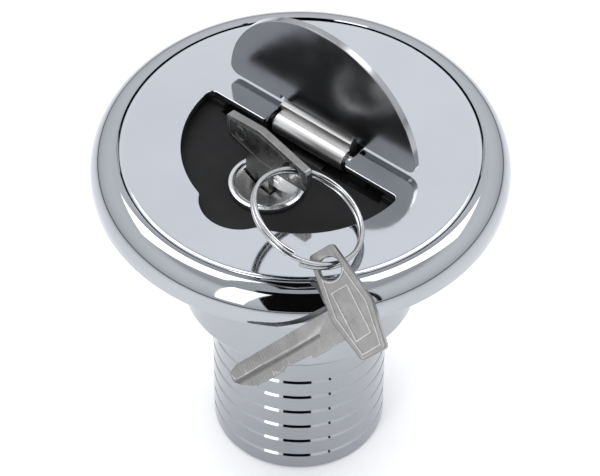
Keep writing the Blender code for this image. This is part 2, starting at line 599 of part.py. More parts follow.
def make_cam_fixings():
    washer = tube("cam_washer", WASHER_R, CAM_SCREW_R + CLEAR, *WASHER_Z, PARTS, BRUSHED, steps=24)
    washer.location.y = LOCK_Y
    low, high = CAM_HEAD_Z
    profile = [(0.0, KEYWAY_BOTTOM - 0.0004), (CAM_SCREW_R, KEYWAY_BOTTOM - 0.0004), (CAM_SCREW_R, high)]
    profile += [(CAM_HEAD_R, high), (CAM_HEAD_R, low + 0.0005), (CAM_HEAD_R - 0.0005, low), (0.0, low)]
    screw = turned("cam_screw", profile, PARTS, BRUSHED, steps=20, closed=False)
    screw.location.y = LOCK_Y
    slot = block("screw_slot", (-0.004, -0.0004, low - 0.001), (0.004, 0.0004, low + 0.0008), CUTTERS)
    slot.parent = screw
    cut(screw, slot)


def bow_outline():
    hole_end, far_end = BOW_HOLE_END, -BOW_FAR_END
    corners = [(far_end, -BOW_FAR_HALF), (BOW_WIDEST, -BOW_HALF), (hole_end, -BOW_HOLE_HALF)]
    corners += [(hole_end, BOW_HOLE_HALF), (BOW_WIDEST, BOW_HALF), (far_end, BOW_FAR_HALF)]
    return rounded(corners, (0.0008, 0.0, 0.0008, 0.0008, 0.0040, 0.0008), 3)


def blade_outline():
    """The blade below the bow: a plain edge, and towards the bow's far end a wide shoulder and then the cut edge."""
    top, wide = -BOW_HALF + 0.0012, SHOULDER_HALF
    cut_edge = [(-x, y) for x, y in BLADE_CUT_EDGE]
    return [(-wide, top), (-wide, SHOULDER_LOW), *cut_edge, *BLADE_TIP, (wide, top)]


def make_key(name, cutter_name):
    """A key drawn in (x, y), its bow along X with the ring's hole at +X, and its blade down -Y."""
    hole = circle((BOW_HOLE_X, 0.0), BOW_HOLE_R, 28)
    key = plate(name, [bow_outline(), hole], -BOW_T / 2, BOW_T / 2, PARTS, NICKEL)
    blade = plate(cutter_name, [blade_outline()], -BLADE_T / 2, BLADE_T / 2, CUTTERS)
    blade.parent = key
    cut(key, blade, "UNION")
    return key


def make_keys(axis):
    key = make_key("lock_key", "lock_key_blade")
    key.parent = axis
    key.location = (KEY_X, 0.0, KEY_Z)
    key.rotation_euler = (math.pi / 2, 0.0, 0.0)
    spare = make_key("spare_key", "spare_key_blade")
    up = (SPARE_UP - SPARE_HOLE_WAY * SPARE_UP.dot(SPARE_HOLE_WAY)).normalized()
    turn = Matrix((SPARE_HOLE_WAY, up, SPARE_HOLE_WAY.cross(up))).transposed()
    spare.matrix_world = Matrix.Translation(SPARE_AT) @ turn.to_4x4()


def make_key_ring():
    """Two turns of wire side by side."""
    curve = bpy.data.curves.new("key_ring", "CURVE")
    curve.dimensions = "3D"
    curve.bevel_depth = RING_WIRE_R
    curve.bevel_resolution = 1
    curve.use_fill_caps = True
    per_turn = 32
    spline = curve.splines.new("POLY")
    spline.points.add(2 * per_turn - 1)
    for i, point in enumerate(spline.points):
        angle = 2 * math.pi * i / per_turn
        rise = RING_STEP * (i / per_turn - 1.0)
        point.co = (RING_R * math.cos(angle), RING_R * math.sin(angle), rise, 1.0)
    ring = place(bpy.data.objects.new("key_ring", curve), PARTS, NICKEL)
    across = RING_NORMAL.cross(Vector((0, 0, 1))).normalized()
    turn = Matrix((across, RING_NORMAL.cross(across), RING_NORMAL)).transposed()
    ring.matrix_world = Matrix.Translation(RING_CENTRE) @ turn.to_4x4()


def shade(angle):
    for obj in PARTS.objects:
        if obj.type == "MESH":
            obj.data.shade_smooth()
            obj.data.set_sharp_from_angle(angle=angle)


make_deck_body()
make_cap_cover()
make_cover_nuts()
make_cap_insert()
make_cap_seal()
make_hinge_pin()
make_flap_spring()
make_flap()
LOCK_AXIS = lock_axis()
make_lock_barrel(LOCK_AXIS)
make_lock_nut()
make_lock_plug(LOCK_AXIS)
make_wafers(LOCK_AXIS)
make_wafer_springs(LOCK_AXIS)
make_lock_cam()
make_cam_fixings()
make_keys(LOCK_AXIS)
make_key_ring()
shade(math.radians(40.0))
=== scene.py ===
"""The looks of a locking deck fill cap: chrome, black plastic and stamped keys, round its CAD model."""

import math

import bmesh
import bpy
from mathutils import Matrix, Vector


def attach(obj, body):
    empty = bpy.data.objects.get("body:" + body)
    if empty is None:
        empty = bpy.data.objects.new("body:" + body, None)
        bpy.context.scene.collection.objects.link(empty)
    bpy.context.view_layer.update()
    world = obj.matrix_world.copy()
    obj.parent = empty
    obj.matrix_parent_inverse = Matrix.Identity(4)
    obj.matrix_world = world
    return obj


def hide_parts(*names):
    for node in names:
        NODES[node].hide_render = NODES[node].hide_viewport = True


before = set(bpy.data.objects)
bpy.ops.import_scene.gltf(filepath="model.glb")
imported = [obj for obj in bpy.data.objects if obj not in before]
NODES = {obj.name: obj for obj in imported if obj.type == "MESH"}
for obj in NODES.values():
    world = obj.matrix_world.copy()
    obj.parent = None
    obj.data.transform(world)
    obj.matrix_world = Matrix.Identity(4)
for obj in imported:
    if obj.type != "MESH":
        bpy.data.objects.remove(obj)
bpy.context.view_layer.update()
SCENE = bpy.context.scene

# Sizes shared with the CAD, in metres and degrees. The flange's underside is at height 0.
RIM_R = 0.045
RIM_TOP = 0.0080
RIM_ROLL_WIDTH = 0.0061
RIM_ROLL_DROP = 0.0065
SEAT_R = 0.0389
SEAT_Z = 0.0026
CUP_R = 0.0260
CUP_BOTTOM = -0.0347
CUP_ROUND = 0.0020
MOUTH_R = 0.0246
LEDGE_R = 0.0218
LEDGE_TOP = -0.0045
LEDGE_LOW = -0.0095
CHAMBER_R = 0.0244
CHAMBER_FLOOR = -0.0315
TAIL_R = 0.0193
TAIL_BORE_R = 0.0168
TAIL_BOTTOM = -0.0764
TAIL_GROOVES = 6
FIRST_GROOVE = 0.0044
GROOVE_PITCH = 0.0050
GROOVE_DEPTH = 0.00045
FIXINGS = 4
FIXING_CIRCLE_R = 0.032
LUG_ANGLES = (0.0, 180.0)
LUG_HALF_ANGLE = 14.0
SLOT_HALF_ANGLE = 17.0
RIB_HALF_ANGLE = 2.5
LOCK_TURN = 75.0
COVER_R = 0.0386
COVER_Z = 0.0064
COVER_ROLL = 0.0012
COVER_ROLL_DROP = 0.00045
COVER_EDGE = 0.00022
STUDS = 3
STUD_CIRCLE_R = 0.0312
STUD_R = 0.0014
OPENING_R = 0.0254
CHORD_Y = 0.0010
CORNER_R = 0.0015
LOBE_Y = -0.0202
LOBE_R = 0.0086
NOTCH_HALF = 0.0108
NOTCH_REAR = 0.0092
INSERT_R = 0.0366
INSERT_Z = 0.0029
INSERT_TOP = 0.0061
SKIRT_R = 0.0213
SKIRT_BORE_R = 0.0196
SEAL_GROOVE_R = 0.0214
PIN_Y = 0.0053
PIN_Z = 0.0047
PIN_R = 0.00125
PIN_HALF = 0.0152
FLAP_R = 0.0250
FLAP_T = 0.0016
FLAP_BACK = 0.00855
FLAP_FRONT = FLAP_BACK - FLAP_T
FLAP_LOW = 0.0093
TAB_X = (-0.0102, 0.0086)
LOCK_Y = -0.0112
KEY_TURN = math.radians(-7.64)
KEY_X = -0.0023
KEY_Z = 0.0156
LOCK_PLACE = Matrix.Translation((0.0, LOCK_Y, 0.0)) @ Matrix.Rotation(KEY_TURN, 4, "Z")
BOW_T = 0.0018
BLADE_T = 0.0016
BOW_HOLE = (0.0107, 0.0)
RIDGE_LIFT = 0.00016
RING_CENTRE = Vector((0.018204, -0.020407, 0.014911))
RING_NORMAL = Vector((0.3227, 0.2123, 0.9224)).normalized()
RING_R = 0.01214
RING_WIRE_R = 0.00052
RING_STEP = 0.00112
WAFERS = 5
SPARE_AT = Vector((0.038098, -0.029727, 0.006997))
SPARE_HOLE_WAY = Vector((-0.8378, 0.3185, 0.4434)).normalized()
SPARE_UP = Vector((0.5353, 0.6391, 0.5523))

# Edges steeper than these stay sharp
SHARP = math.radians(32.0)
SHARP_FLAP = math.radians(28.0)
SHARP_INSERT = math.radians(25.0)
SHARP_SEAL = math.radians(60.0)

# The camera, at the photograph's viewing angle
CAMERA_AZIMUTH = math.radians(38.5)
CAMERA_ELEVATION = math.radians(46.14)
CAMERA_DISTANCE = 0.7724
CAMERA_ORBIT = Vector((0.0, 0.0, 0.0014))
CAMERA_AIM = Vector((0.0, 0.0, -0.0210))
CAMERA_ROLL = math.radians(0.45)
SENSOR_WIDTH = 36.0
LENS = 217.3

# The studio: lamp powers in watts, and the tent's brightness from the horizon (0) to straight up (1)
OVERHEAD_POWER = 1.1
BESIDE_LENS_POWER = 1.4
FLOOR_POWER = 9.0
FLOOR_HALF = 2.5
FLOOR_GAP = 0.0003
TENT = ((0.02, 0.25), (0.05, 0.90), (0.30, 1.15), (0.62, 1.28), (0.76, 1.18), (0.84, 0.74))
HORIZON = (0.22, 0.23, 0.25, 1.0)
ZENITH = (0.80, 0.82, 0.86, 1.0)

# ---------------------------------------------------------------- materials


class Nodes:
    """A material's node tree with its Principled shader."""

    def __init__(self, name, colour, metallic, roughness):
        self.material = bpy.data.materials.new(name)
        self.material.use_nodes = True
        self.tree = self.material.node_tree
        self.shader = self.tree.nodes["Principled BSDF"]
        self.shader.inputs["Base Color"].default_value = (*colour, 1.0)
        self.shader.inputs["Metallic"].default_value = metallic
        self.shader.inputs["Roughness"].default_value = roughness
        self.coordinates = self.tree.nodes.new("ShaderNodeTexCoord").outputs["Object"]

    def link(self, source, target):
        self.tree.links.new(source, target)

    def stretched(self, scale):
        node = self.tree.nodes.new("ShaderNodeMapping")
        node.inputs["Scale"].default_value = scale
        self.link(self.coordinates, node.inputs["Vector"])
        return node.outputs["Vector"]

    def noise(self, scale, detail=3.0, roughness=0.5, vector=None):
        node = self.tree.nodes.new("ShaderNodeTexNoise")
        node.inputs["Scale"].default_value = scale
        node.inputs["Detail"].default_value = detail
        node.inputs["Roughness"].default_value = roughness
        self.link(vector or self.coordinates, node.inputs["Vector"])
        return node.outputs["Fac"]

    def ramp(self, value, low, high, start=0.3, end=0.7):
        """Maps a noise to a range of greys or colours."""
        node = self.tree.nodes.new("ShaderNodeValToRGB")
        first, last = node.color_ramp.elements
        first.position, last.position = start, end
        first.color = (*low, 1.0) if isinstance(low, tuple) else (low, low, low, 1.0)
        last.color = (*high, 1.0) if isinstance(high, tuple) else (high, high, high, 1.0)
        self.link(value, node.inputs["Fac"])
        return node.outputs["Color"]

    def bump(self, height, strength, distance, normal=None):
        node = self.tree.nodes.new("ShaderNodeBump")
        node.inputs["Strength"].default_value = strength
        node.inputs["Distance"].default_value = distance
        self.link(height, node.inputs["Height"])
        if normal:
            self.link(normal, node.inputs["Normal"])
        self.link(node.outputs["Normal"], self.shader.inputs["Normal"])
        return node.outputs["Normal"]

    def set(self, socket, value):
        if isinstance(value, bpy.types.NodeSocket):
            self.link(value, self.shader.inputs[socket])
        else:
            self.shader.inputs[socket].default_value = value


def polished(name, light, dark, rough, wave=0.10, scratches=0.03):
    """Plated or polished metal: faint waves, hairline scratches and a slightly uneven gloss."""
    made = Nodes(name, light, 1.0, rough)
    made.set("Base Color", made.ramp(made.noise(40.0, 4.0), dark, light))
    made.set("Roughness", made.ramp(made.noise(900.0, 5.0, 0.7), rough * 0.7, rough * 1.4))
    waves = made.bump(made.noise(70.0, 1.0), wave, 0.0002)
    hair = made.noise(1.0, 6.0, 0.8, made.stretched((300.0, 9000.0, 2500.0)))
    made.bump(hair, scratches, 0.00002, waves)
    return made


def brushed(name, light, dark, rough, lines, depth=0.00004, strength=0.35):
    """Metal brushed along one axis: long fine lines in colour, gloss and height."""
    made = Nodes(name, light, 1.0, rough)
    fine = made.noise(1.0, 6.0, 0.75, made.stretched(lines))
    made.set("Base Color", made.ramp(fine, dark, light, 0.35, 0.65))
    made.set("Roughness", made.ramp(fine, rough * 1.25, rough * 0.8))
    made.bump(fine, strength, depth)
    return made


def stamped(name, light, dark, rough):
    """Nickel-plated stamped metal: fine grain, with soft blotches where it is handled."""
    made = Nodes(name, light, 1.0, rough)
    made.set("Base Color", made.ramp(made.noise(260.0, 5.0, 0.6), dark, light))
    made.set("Roughness", made.ramp(made.noise(500.0, 4.0, 0.6), rough * 0.8, rough * 1.3))
    grain = made.bump(made.noise(5200.0, 3.0, 0.6), 0.35, 0.00004)
    made.bump(made.noise(350.0, 2.0), 0.25, 0.00012, grain)
    return made


def moulded(name, light, dark, rough, grain=4200.0, depth=0.00003):
    """Moulded plastic or rubber: fine grain and slight flow marks."""
    made = Nodes(name, light, 0.0, rough)
    made.set("Base Color", made.ramp(made.noise(120.0, 3.0), dark, light))
    made.set("Roughness", made.ramp(made.noise(300.0, 4.0, 0.6), rough * 0.85, rough * 1.2))
    flow = made.bump(made.noise(45.0, 1.0), 0.15, 0.0003)
    made.bump(made.noise(grain, 3.0, 0.6), 0.4, depth, flow)
    return made


ANY_WAY = (900.0, 900.0, 900.0)
CHROME = polished("chrome", (0.370, 0.381, 0.404), (0.342, 0.353, 0.375), 0.045)
COVER_STEEL = polished("cover_steel", (0.505, 0.522, 0.558), (0.475, 0.492, 0.525), 0.07, 0.14, 0.0015)
FLAP_STEEL = polished("flap_steel", (0.38, 0.385, 0.395), (0.29, 0.292, 0.30), 0.20, 0.5)
FLAP_STEEL.set("Roughness", FLAP_STEEL.ramp(FLAP_STEEL.noise(130.0, 2.0), 0.17, 0.24))
KNUCKLE_STEEL = brushed(
    "knuckle_steel", (0.68, 0.68, 0.675), (0.50, 0.495, 0.485), 0.32, (40.0, 5200.0, 5200.0)
)
SATIN_STEEL = brushed("satin_steel", (0.66, 0.66, 0.67), (0.50, 0.50, 0.51), 0.32, (2600.0, 120.0, 2600.0))
LOCK_CHROME = polished("lock_chrome", (0.44, 0.44, 0.44), (0.38, 0.38, 0.38), 0.22, 0.3)
BEZEL_CHROME = polished("bezel_chrome", (0.56, 0.56, 0.57), (0.50, 0.50, 0.51), 0.22, 0.3)
DARK_SPRING = brushed(
    "dark_spring", (0.045, 0.044, 0.042), (0.030, 0.030, 0.028), 0.40, ANY_WAY, 0.00001, 0.2
)
NICKEL = stamped("key_nickel", (0.235, 0.233, 0.228), (0.185, 0.183, 0.179), 0.30)
# a lighter copy of the key nickel for the tops of the raised lines: a painted highlight
HIGHLIGHT_NICKEL = stamped("painted_highlight_nickel", (0.40, 0.395, 0.385), (0.33, 0.325, 0.315), 0.26)
RING_STEEL = brushed("ring_steel", (0.47, 0.47, 0.475), (0.37, 0.37, 0.375), 0.16, ANY_WAY, 0.00001, 0.2)
SPRING_STEEL = brushed("spring_steel", (0.70, 0.70, 0.70), (0.55, 0.55, 0.55), 0.24, ANY_WAY, 0.00001, 0.2)
BLACK_PLASTIC = moulded("black_plastic", (0.012, 0.012, 0.0125), (0.008, 0.008, 0.0085), 0.52)
BLACK_PLASTIC.set("Specular IOR Level", 0.14)
RUBBER = moulded("seal_rubber", (0.024, 0.024, 0.024), (0.016, 0.016, 0.016), 0.68, 2600.0, 0.00005)
BRASS = brushed("wafer_brass", (0.80, 0.60, 0.30), (0.62, 0.44, 0.19), 0.28, (200.0, 3000.0, 3000.0), 0.00002)

# ------------------------------------------------------------------- shapes


def new_object(name, mesh):
    obj = bpy.data.objects.new(name, mesh)
    SCENE.collection.objects.link(obj)
    return obj


def finished(obj, surface, body, node, angle=SHARP):
    """Gives a piece its surface, and its place on the CAD's body."""
    obj.data.materials.clear()
    obj.data.materials.append(surface.material)
    obj.data.shade_smooth()
    obj.data.set_sharp_from_angle(angle=angle)
    even = obj.modifiers.new("even_shading", "WEIGHTED_NORMAL")
    even.keep_sharp = True
    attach(obj, body)
    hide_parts(node)
    return obj


def arc(centre, radius, start, end, count):
    """Points on a circle from one angle to another, in degrees."""
    angles = [math.radians(start + (end - start) * i / count) for i in range(count + 1)]
    return [(centre[0] + radius * math.cos(a), centre[1] + radius * math.sin(a)) for a in angles]


def circle(centre, radius, count):
    return arc(centre, radius, 0.0, 360.0, count)[:-1]


def sector(inner, outer, middle, half):
    """A piece of a ring, from its middle angle and half its width in degrees."""
    low, high = middle - half, middle + half
    return arc((0, 0), outer, low, high, 24) + arc((0, 0), inner, high, low, 24)


def eased(corners, radii, count=8):
    """A closed outline with each corner rounded by its own radius."""
    nearly_straight = math.radians(86.0)
    made = []
    for i, corner in enumerate(corners):
        here = Vector(corner)
        back, ahead = Vector(corners[i - 1]) - here, Vector(corners[(i + 1) % len(corners)]) - here
        room = min(back.length, ahead.length) * 0.48
        back.normalize()
        ahead.normalize()
        half = math.acos(max(-1.0, min(1.0, back.dot(ahead)))) / 2
        if half > nearly_straight:
            made.append(tuple(here))
            continue
        run = min(radii[i] / math.tan(half), room)
        radius = run * math.tan(half)
        centre = here + (back + ahead).normalized() * radius / math.sin(half)
        first, last = here + back * run - centre, here + ahead * run - centre
        sweep = first.angle_signed(last)
        for step in range(count + 1):
            made.append(tuple(centre + Matrix.Rotation(-sweep * step / count, 2) @ first))
    return made


def turned(name, profile, steps, closed=True):
    """A mesh spun about Z from (radius, height) points, its outer side running from top to bottom."""
    mesh = bpy.data.meshes.new(name)
    points, faces, rings = [], [], []
    for r, z in profile:
        if r == 0.0:
            rings.append([len(points)] * steps)
            points.append((0.0, 0.0, z))
        else:
            rings.append(list(range(len(points), len(points) + steps)))
            for i in range(steps):
                angle = 2 * math.pi * i / steps
                points.append((r * math.cos(angle), r * math.sin(angle), z))
    pairs = list(zip(rings, rings[1:])) + ([(rings[-1], rings[0])] if closed else [])
    for upper, lower in pairs:
        for i in range(steps):
            j = (i + 1) % steps
            face = [upper[i], lower[i], lower[j], upper[j]]
            face = [p for k, p in enumerate(face) if p != face[k - 1]]
            if len(face) > 2:
                faces.append(face)
    mesh.from_pydata(points, [], faces)
    mesh.validate()
    return new_object(name, mesh)


def evaluated_mesh(obj):
    """The mesh that a curve or an object with modifiers comes out as."""
    graph = bpy.context.evaluated_depsgraph_get()
    return bpy.data.meshes.new_from_object(obj.evaluated_get(graph))


def plate(name, outlines, low, high, bevel=0.0, bevel_steps=3):
    """Closed (x, y) outlines, the first the edge and the rest holes, made a plate with eased edges."""
    curve = bpy.data.curves.new(name, "CURVE")
    curve.dimensions = "2D"
    curve.fill_mode = "BOTH"
    curve.extrude = (high - low) / 2 - bevel
    curve.bevel_depth = bevel
    curve.bevel_resolution = bevel_steps
    curve.offset = -bevel
    for outline in outlines:
        spline = curve.splines.new("POLY")
        spline.points.add(len(outline) - 1)
        for point, (x, y) in zip(spline.points, outline):
            point.co = (x, y, 0.0, 1.0)
        spline.use_cyclic_u = True
    guide = new_object(name + "_outline", curve)
    mesh = evaluated_mesh(guide)
    bpy.data.objects.remove(guide)
    form = bmesh.new()
    form.from_mesh(mesh)
    bmesh.ops.remove_doubles(form, verts=form.verts, dist=0.0000005)
    bmesh.ops.translate(form, verts=form.verts, vec=(0.0, 0.0, (high + low) / 2))
    bmesh.ops.recalc_face_normals(form, faces=form.faces)
    form.to_mesh(mesh)
    form.free()
    mesh.name = name
    mesh.materials.clear()
    return new_object(name, mesh)


def block(name, low, high):
    mesh = bpy.data.meshes.new(name)
    form = bmesh.new()
    bmesh.ops.create_cube(form, size=1.0)
    bmesh.ops.scale(form, verts=form.verts, vec=[b - a for a, b in zip(low, high)])
    bmesh.ops.translate(form, verts=form.verts, vec=[(a + b) / 2 for a, b in zip(low, high)])
    form.to_mesh(mesh)
    form.free()
    return new_object(name, mesh)


def rod(name, radius, low, high, steps):
    return turned(name, [(0.0, high), (radius, high), (radius, low), (0.0, low)], steps, closed=False)


def weld(mesh):
    """Joins points that lie on each other, so that the surface has no cracks."""
    distance = 0.000001
    form = bmesh.new()
    form.from_mesh(mesh)
    bmesh.ops.remove_doubles(form, verts=form.verts, dist=distance)
    bmesh.ops.dissolve_degenerate(form, edges=form.edges, dist=distance)
    form.to_mesh(mesh)
    form.free()


def combined(obj, others, operation="DIFFERENCE"):
    """Applies Booleans with the other shapes in turn, and removes those shapes."""
    for other in others:
        modifier = obj.modifiers.new(other.name, "BOOLEAN")
        modifier.operation = operation
        modifier.solver = "EXACT"
        modifier.object = other
    bpy.context.view_layer.update()
    mesh = evaluated_mesh(obj)
    obj.modifiers.clear()
    obj.data = mesh
    for other in others:
        bpy.data.objects.remove(other)
    return obj


def moved(obj, matrix):
    """Puts a shape in place by changing its points."""
    obj.data.transform(matrix)
    return obj


def on_circle(radius, degrees):
    """A move from the fitting's axis to a place on a circle round it."""
    angle = math.radians(degrees)
    return Matrix.Translation((radius * math.cos(angle), radius * math.sin(angle), 0.0))


def along_pin(obj):
    """Lays a shape drawn along Z on the hinge pin's line."""
    return moved(obj, Matrix.Translation((0.0, PIN_Y, PIN_Z)) @ Matrix.Rotation(math.pi / 2, 4, "Y"))


def half_round(radius, chord, corner_r):
    """A half disc below a straight chord, its two corners rounded, anticlockwise from the left corner."""
    reach = math.sqrt((radius - corner_r) ** 2 - (chord - corner_r) ** 2)
    tilt = math.degrees(math.atan2(chord - corner_r, reach))
    left = arc((-reach, chord - corner_r), corner_r, 90.0, 180.0 - tilt, 10)
    bow = arc((0, 0), radius, 180.0 - tilt, 360.0 + tilt, 96)[1:-1]
    right = arc((reach, chord - corner_r), corner_r, tilt, 90.0, 10)
    return left + bow + right


def with_lobe(outline, lobe_y, lobe_r):
    """Adds a round finger lobe to the middle of a half disc's curved side, blended into it."""
    blend = 0.0012
    radius = max(math.hypot(*p) for p in outline)
    inside = [p for p in outline if math.hypot(p[0], p[1] - lobe_y) > lobe_r + blend * 1.1]
    first_right = next(i for i, p in enumerate(inside) if p[0] > 0 and p[1] < lobe_y)
    # the blend's centre lies outside the half disc and outside the lobe
    far = -lobe_y
    reach_a, reach_b = radius + blend, lobe_r + blend
    drop = (reach_a**2 - reach_b**2 + far**2) / (2 * far)
    side = math.sqrt(max(reach_a**2 - drop**2, 0.0))
    from_lobe = math.degrees(math.atan2(-drop - lobe_y, side))
    lobe = arc((0, lobe_y), lobe_r, 180.0 - from_lobe, 360.0 + from_lobe, 32)
    start, end = math.degrees(math.atan2(drop, side)), math.degrees(math.atan2(lobe_y + drop, side))
    # the blend's own arc on the left, and its mirror image
    left = arc((-side, -drop), blend, start, end, 6)
    right = [(-x, y) for x, y in reversed(left)]
    return inside[:first_right] + left + lobe[1:-1] + right + inside[first_right:]


def opening_outline():
    """The cover's opening: a half disc with a finger lobe in front and the hinge's notch behind."""
    notch_round, root_round = 0.0008, 0.0006
    outline = with_lobe(half_round(OPENING_R, CHORD_Y, CORNER_R), LOBE_Y, LOBE_R)
    notch_x, notch_y = NOTCH_HALF - notch_round, NOTCH_REAR - notch_round
    root_x, root_y = NOTCH_HALF + root_round, CHORD_Y + root_round
    notch = arc((notch_x, notch_y), notch_round, 0.0, 90.0, 5)
    other = arc((-notch_x, notch_y), notch_round, 90.0, 180.0, 5)
    root = arc((root_x, root_y), root_round, 270.0, 180.0, 5)
    foot = arc((-root_x, root_y), root_round, 0.0, -90.0, 5)
    return outline + root + notch + other + foot


# ------------------------------------------------- flange, cup and hose tail


def make_deck_body():
    seam_ease, foot_round, rim_steps = 0.00015, 0.0006, 24
    rim = [(SEAT_R + seam_ease, RIM_TOP)]
    for step in range(1, rim_steps + 1):
        angle = math.radians(90.0 * step / rim_steps)
        drop = RIM_ROLL_DROP * (1 - math.cos(angle))
        rim.append((SEAT_R + RIM_ROLL_WIDTH * math.sin(angle), RIM_TOP - drop))
    rim += arc((RIM_R - foot_round, foot_round), foot_round, 0.0, -90.0, 5)
    cup = [(CUP_R + 0.0005, 0.0), (CUP_R + 0.0002, -0.0002), (CUP_R, -0.0006)]
    cup += arc((CUP_R - CUP_ROUND, CUP_BOTTOM + CUP_ROUND), CUP_ROUND, 0.0, -90.0, 8)
    tail = [(TAIL_R + 0.0004, CUP_BOTTOM), (TAIL_R, CUP_BOTTOM - 0.0004)]
    floor_r = TAIL_R - GROOVE_DEPTH
    for groove in reversed(range(TAIL_GROOVES)):
        middle = TAIL_BOTTOM + FIRST_GROOVE + groove * GROOVE_PITCH
        tail += [(TAIL_R, middle + 0.00045), (floor_r, middle + 0.00035), (floor_r, middle)]
        tail += [(TAIL_R, middle - 0.00050)]
    tail += arc((TAIL_R - 0.0005, TAIL_BOTTOM + 0.0005), 0.0005, 0.0, -90.0, 4)
    inside = [(TAIL_BORE_R + 0.0003, TAIL_BOTTOM), (TAIL_BORE_R, TAIL_BOTTOM + 0.0003)]
    inside += [(TAIL_BORE_R, CHAMBER_FLOOR - 0.0015), (TAIL_BORE_R + 0.0015, CHAMBER_FLOOR)]
    inside += [(CHAMBER_R - 0.0005, CHAMBER_FLOOR), (CHAMBER_R, CHAMBER_FLOOR + 0.0005)]
    inside += [(CHAMBER_R, LEDGE_LOW), (LEDGE_R + 0.0002, LEDGE_LOW), (LEDGE_R, LEDGE_LOW + 0.0002)]
    inside += [(LEDGE_R, LEDGE_TOP - 0.0002), (LEDGE_R + 0.0002, LEDGE_TOP)]
    inside += [(MOUTH_R, LEDGE_TOP), (MOUTH_R, SEAT_Z - 0.0004)]
    inside += [(MOUTH_R + 0.0004, SEAT_Z), (SEAT_R, SEAT_Z), (SEAT_R, RIM_TOP - seam_ease)]
    body = turned("flange_and_tail", rim + cup + tail + inside, 256)
    cutters = []
    for side in LUG_ANGLES:
        slot = sector(0.0198, 0.0240, side, SLOT_HALF_ANGLE)
        cutters.append(plate(f"slot_{int(side)}", [slot], -0.0105, -0.0035))
    hole = [(0.0, 0.0036), (0.0044, 0.0036), (0.0044, 0.0026)]
    hole += [(0.0023, 0.0005), (0.0023, -0.001), (0.0, -0.001)]
    for i in range(FIXINGS):
        place = on_circle(FIXING_CIRCLE_R, 45.0 + 90.0 * i)
        cutters.append(moved(turned(f"fixing_{i}", hole, 48, closed=False), place))
    combined(body, cutters)
    # the locked cam stands between two ribs, and a third rib stops the cap's lug
    middle = math.degrees(math.atan2(LOCK_Y - 0.0019, 0.0202)) - LOCK_TURN
    ribs = []
    for i, side in enumerate((-11.0, 11.0)):
        rib = sector(0.0226, 0.0249, middle + side, RIB_HALF_ANGLE)
        ribs.append(plate(f"rib_{i}", [rib], -0.0220, -0.0142))
    stop = sector(0.0222, 0.0249, -LOCK_TURN - LUG_HALF_ANGLE - 4.0, RIB_HALF_ANGLE)
    ribs.append(plate("lug_stop", [stop], -0.0130, -0.0090))
    combined(body, ribs, "UNION")
    finished(body, CHROME, "deck_body", "deck_body")


# ---------------------------------------------------------------- cap pieces


def make_cap_cover():
    edge = circle((0, 0), COVER_R - COVER_ROLL, 256)
    cover = plate("cap_cover_plate", [edge, opening_outline()], COVER_Z, RIM_TOP, COVER_EDGE)
    # the plate's outer edge rolls down into the seam
    roll = []
    for step in range(11):
        angle = math.radians(9.0 * step)
        drop = COVER_ROLL_DROP * (1 - math.cos(angle))
        roll.append((COVER_R - COVER_ROLL * (1 - math.sin(angle)), RIM_TOP - drop))
    overlap_r = COVER_R - COVER_ROLL - 0.0006
    roll += [(COVER_R, COVER_Z + 0.0002), (COVER_R - 0.0002, COVER_Z)]
    roll += [(overlap_r, COVER_Z), (overlap_r, RIM_TOP)]
    added = [turned("rolled_edge", roll, 256)]
    stud_top, stud_low = COVER_Z + 0.0005, 0.0032
    stud = [(0.0, stud_top), (STUD_R, stud_top), (STUD_R, stud_low + 0.0003), (STUD_R - 0.0003, stud_low)]
    stud += [(0.0, stud_low)]
    for i in range(STUDS):
        place = on_circle(STUD_CIRCLE_R, 90.0 + 120.0 * i)
        added.append(moved(turned(f"stud_{i}", stud, 32, closed=False), place))
    combined(cover, added, "UNION")
    weld(cover.data)
    finished(cover, COVER_STEEL, "cap", "cap_cover")


def insert_profile():
    """Half the plastic insert's section: its top disc, the seal's groove and the hollow skirt."""
    plug_r = 0.0240
    profile = [(0.0, INSERT_TOP), (INSERT_R - 0.0003, INSERT_TOP), (INSERT_R, INSERT_TOP - 0.0003)]
    profile += [(INSERT_R, INSERT_Z), (plug_r, INSERT_Z), (plug_r, -0.0009)]
    profile += [(SEAL_GROOVE_R, -0.0009), (SEAL_GROOVE_R, -0.0037), (plug_r, -0.0037), (plug_r, -0.0040)]
    profile += [(plug_r - 0.0002, -0.0042), (SKIRT_R, -0.0042), (SKIRT_R, -0.0143)]
    profile += [(SKIRT_R - 0.0003, -0.0146), (SKIRT_BORE_R + 0.0003, -0.0146)]
    profile += [(SKIRT_BORE_R, -0.0143), (SKIRT_BORE_R, -0.0010), (0.0, -0.0010)]
    return profile


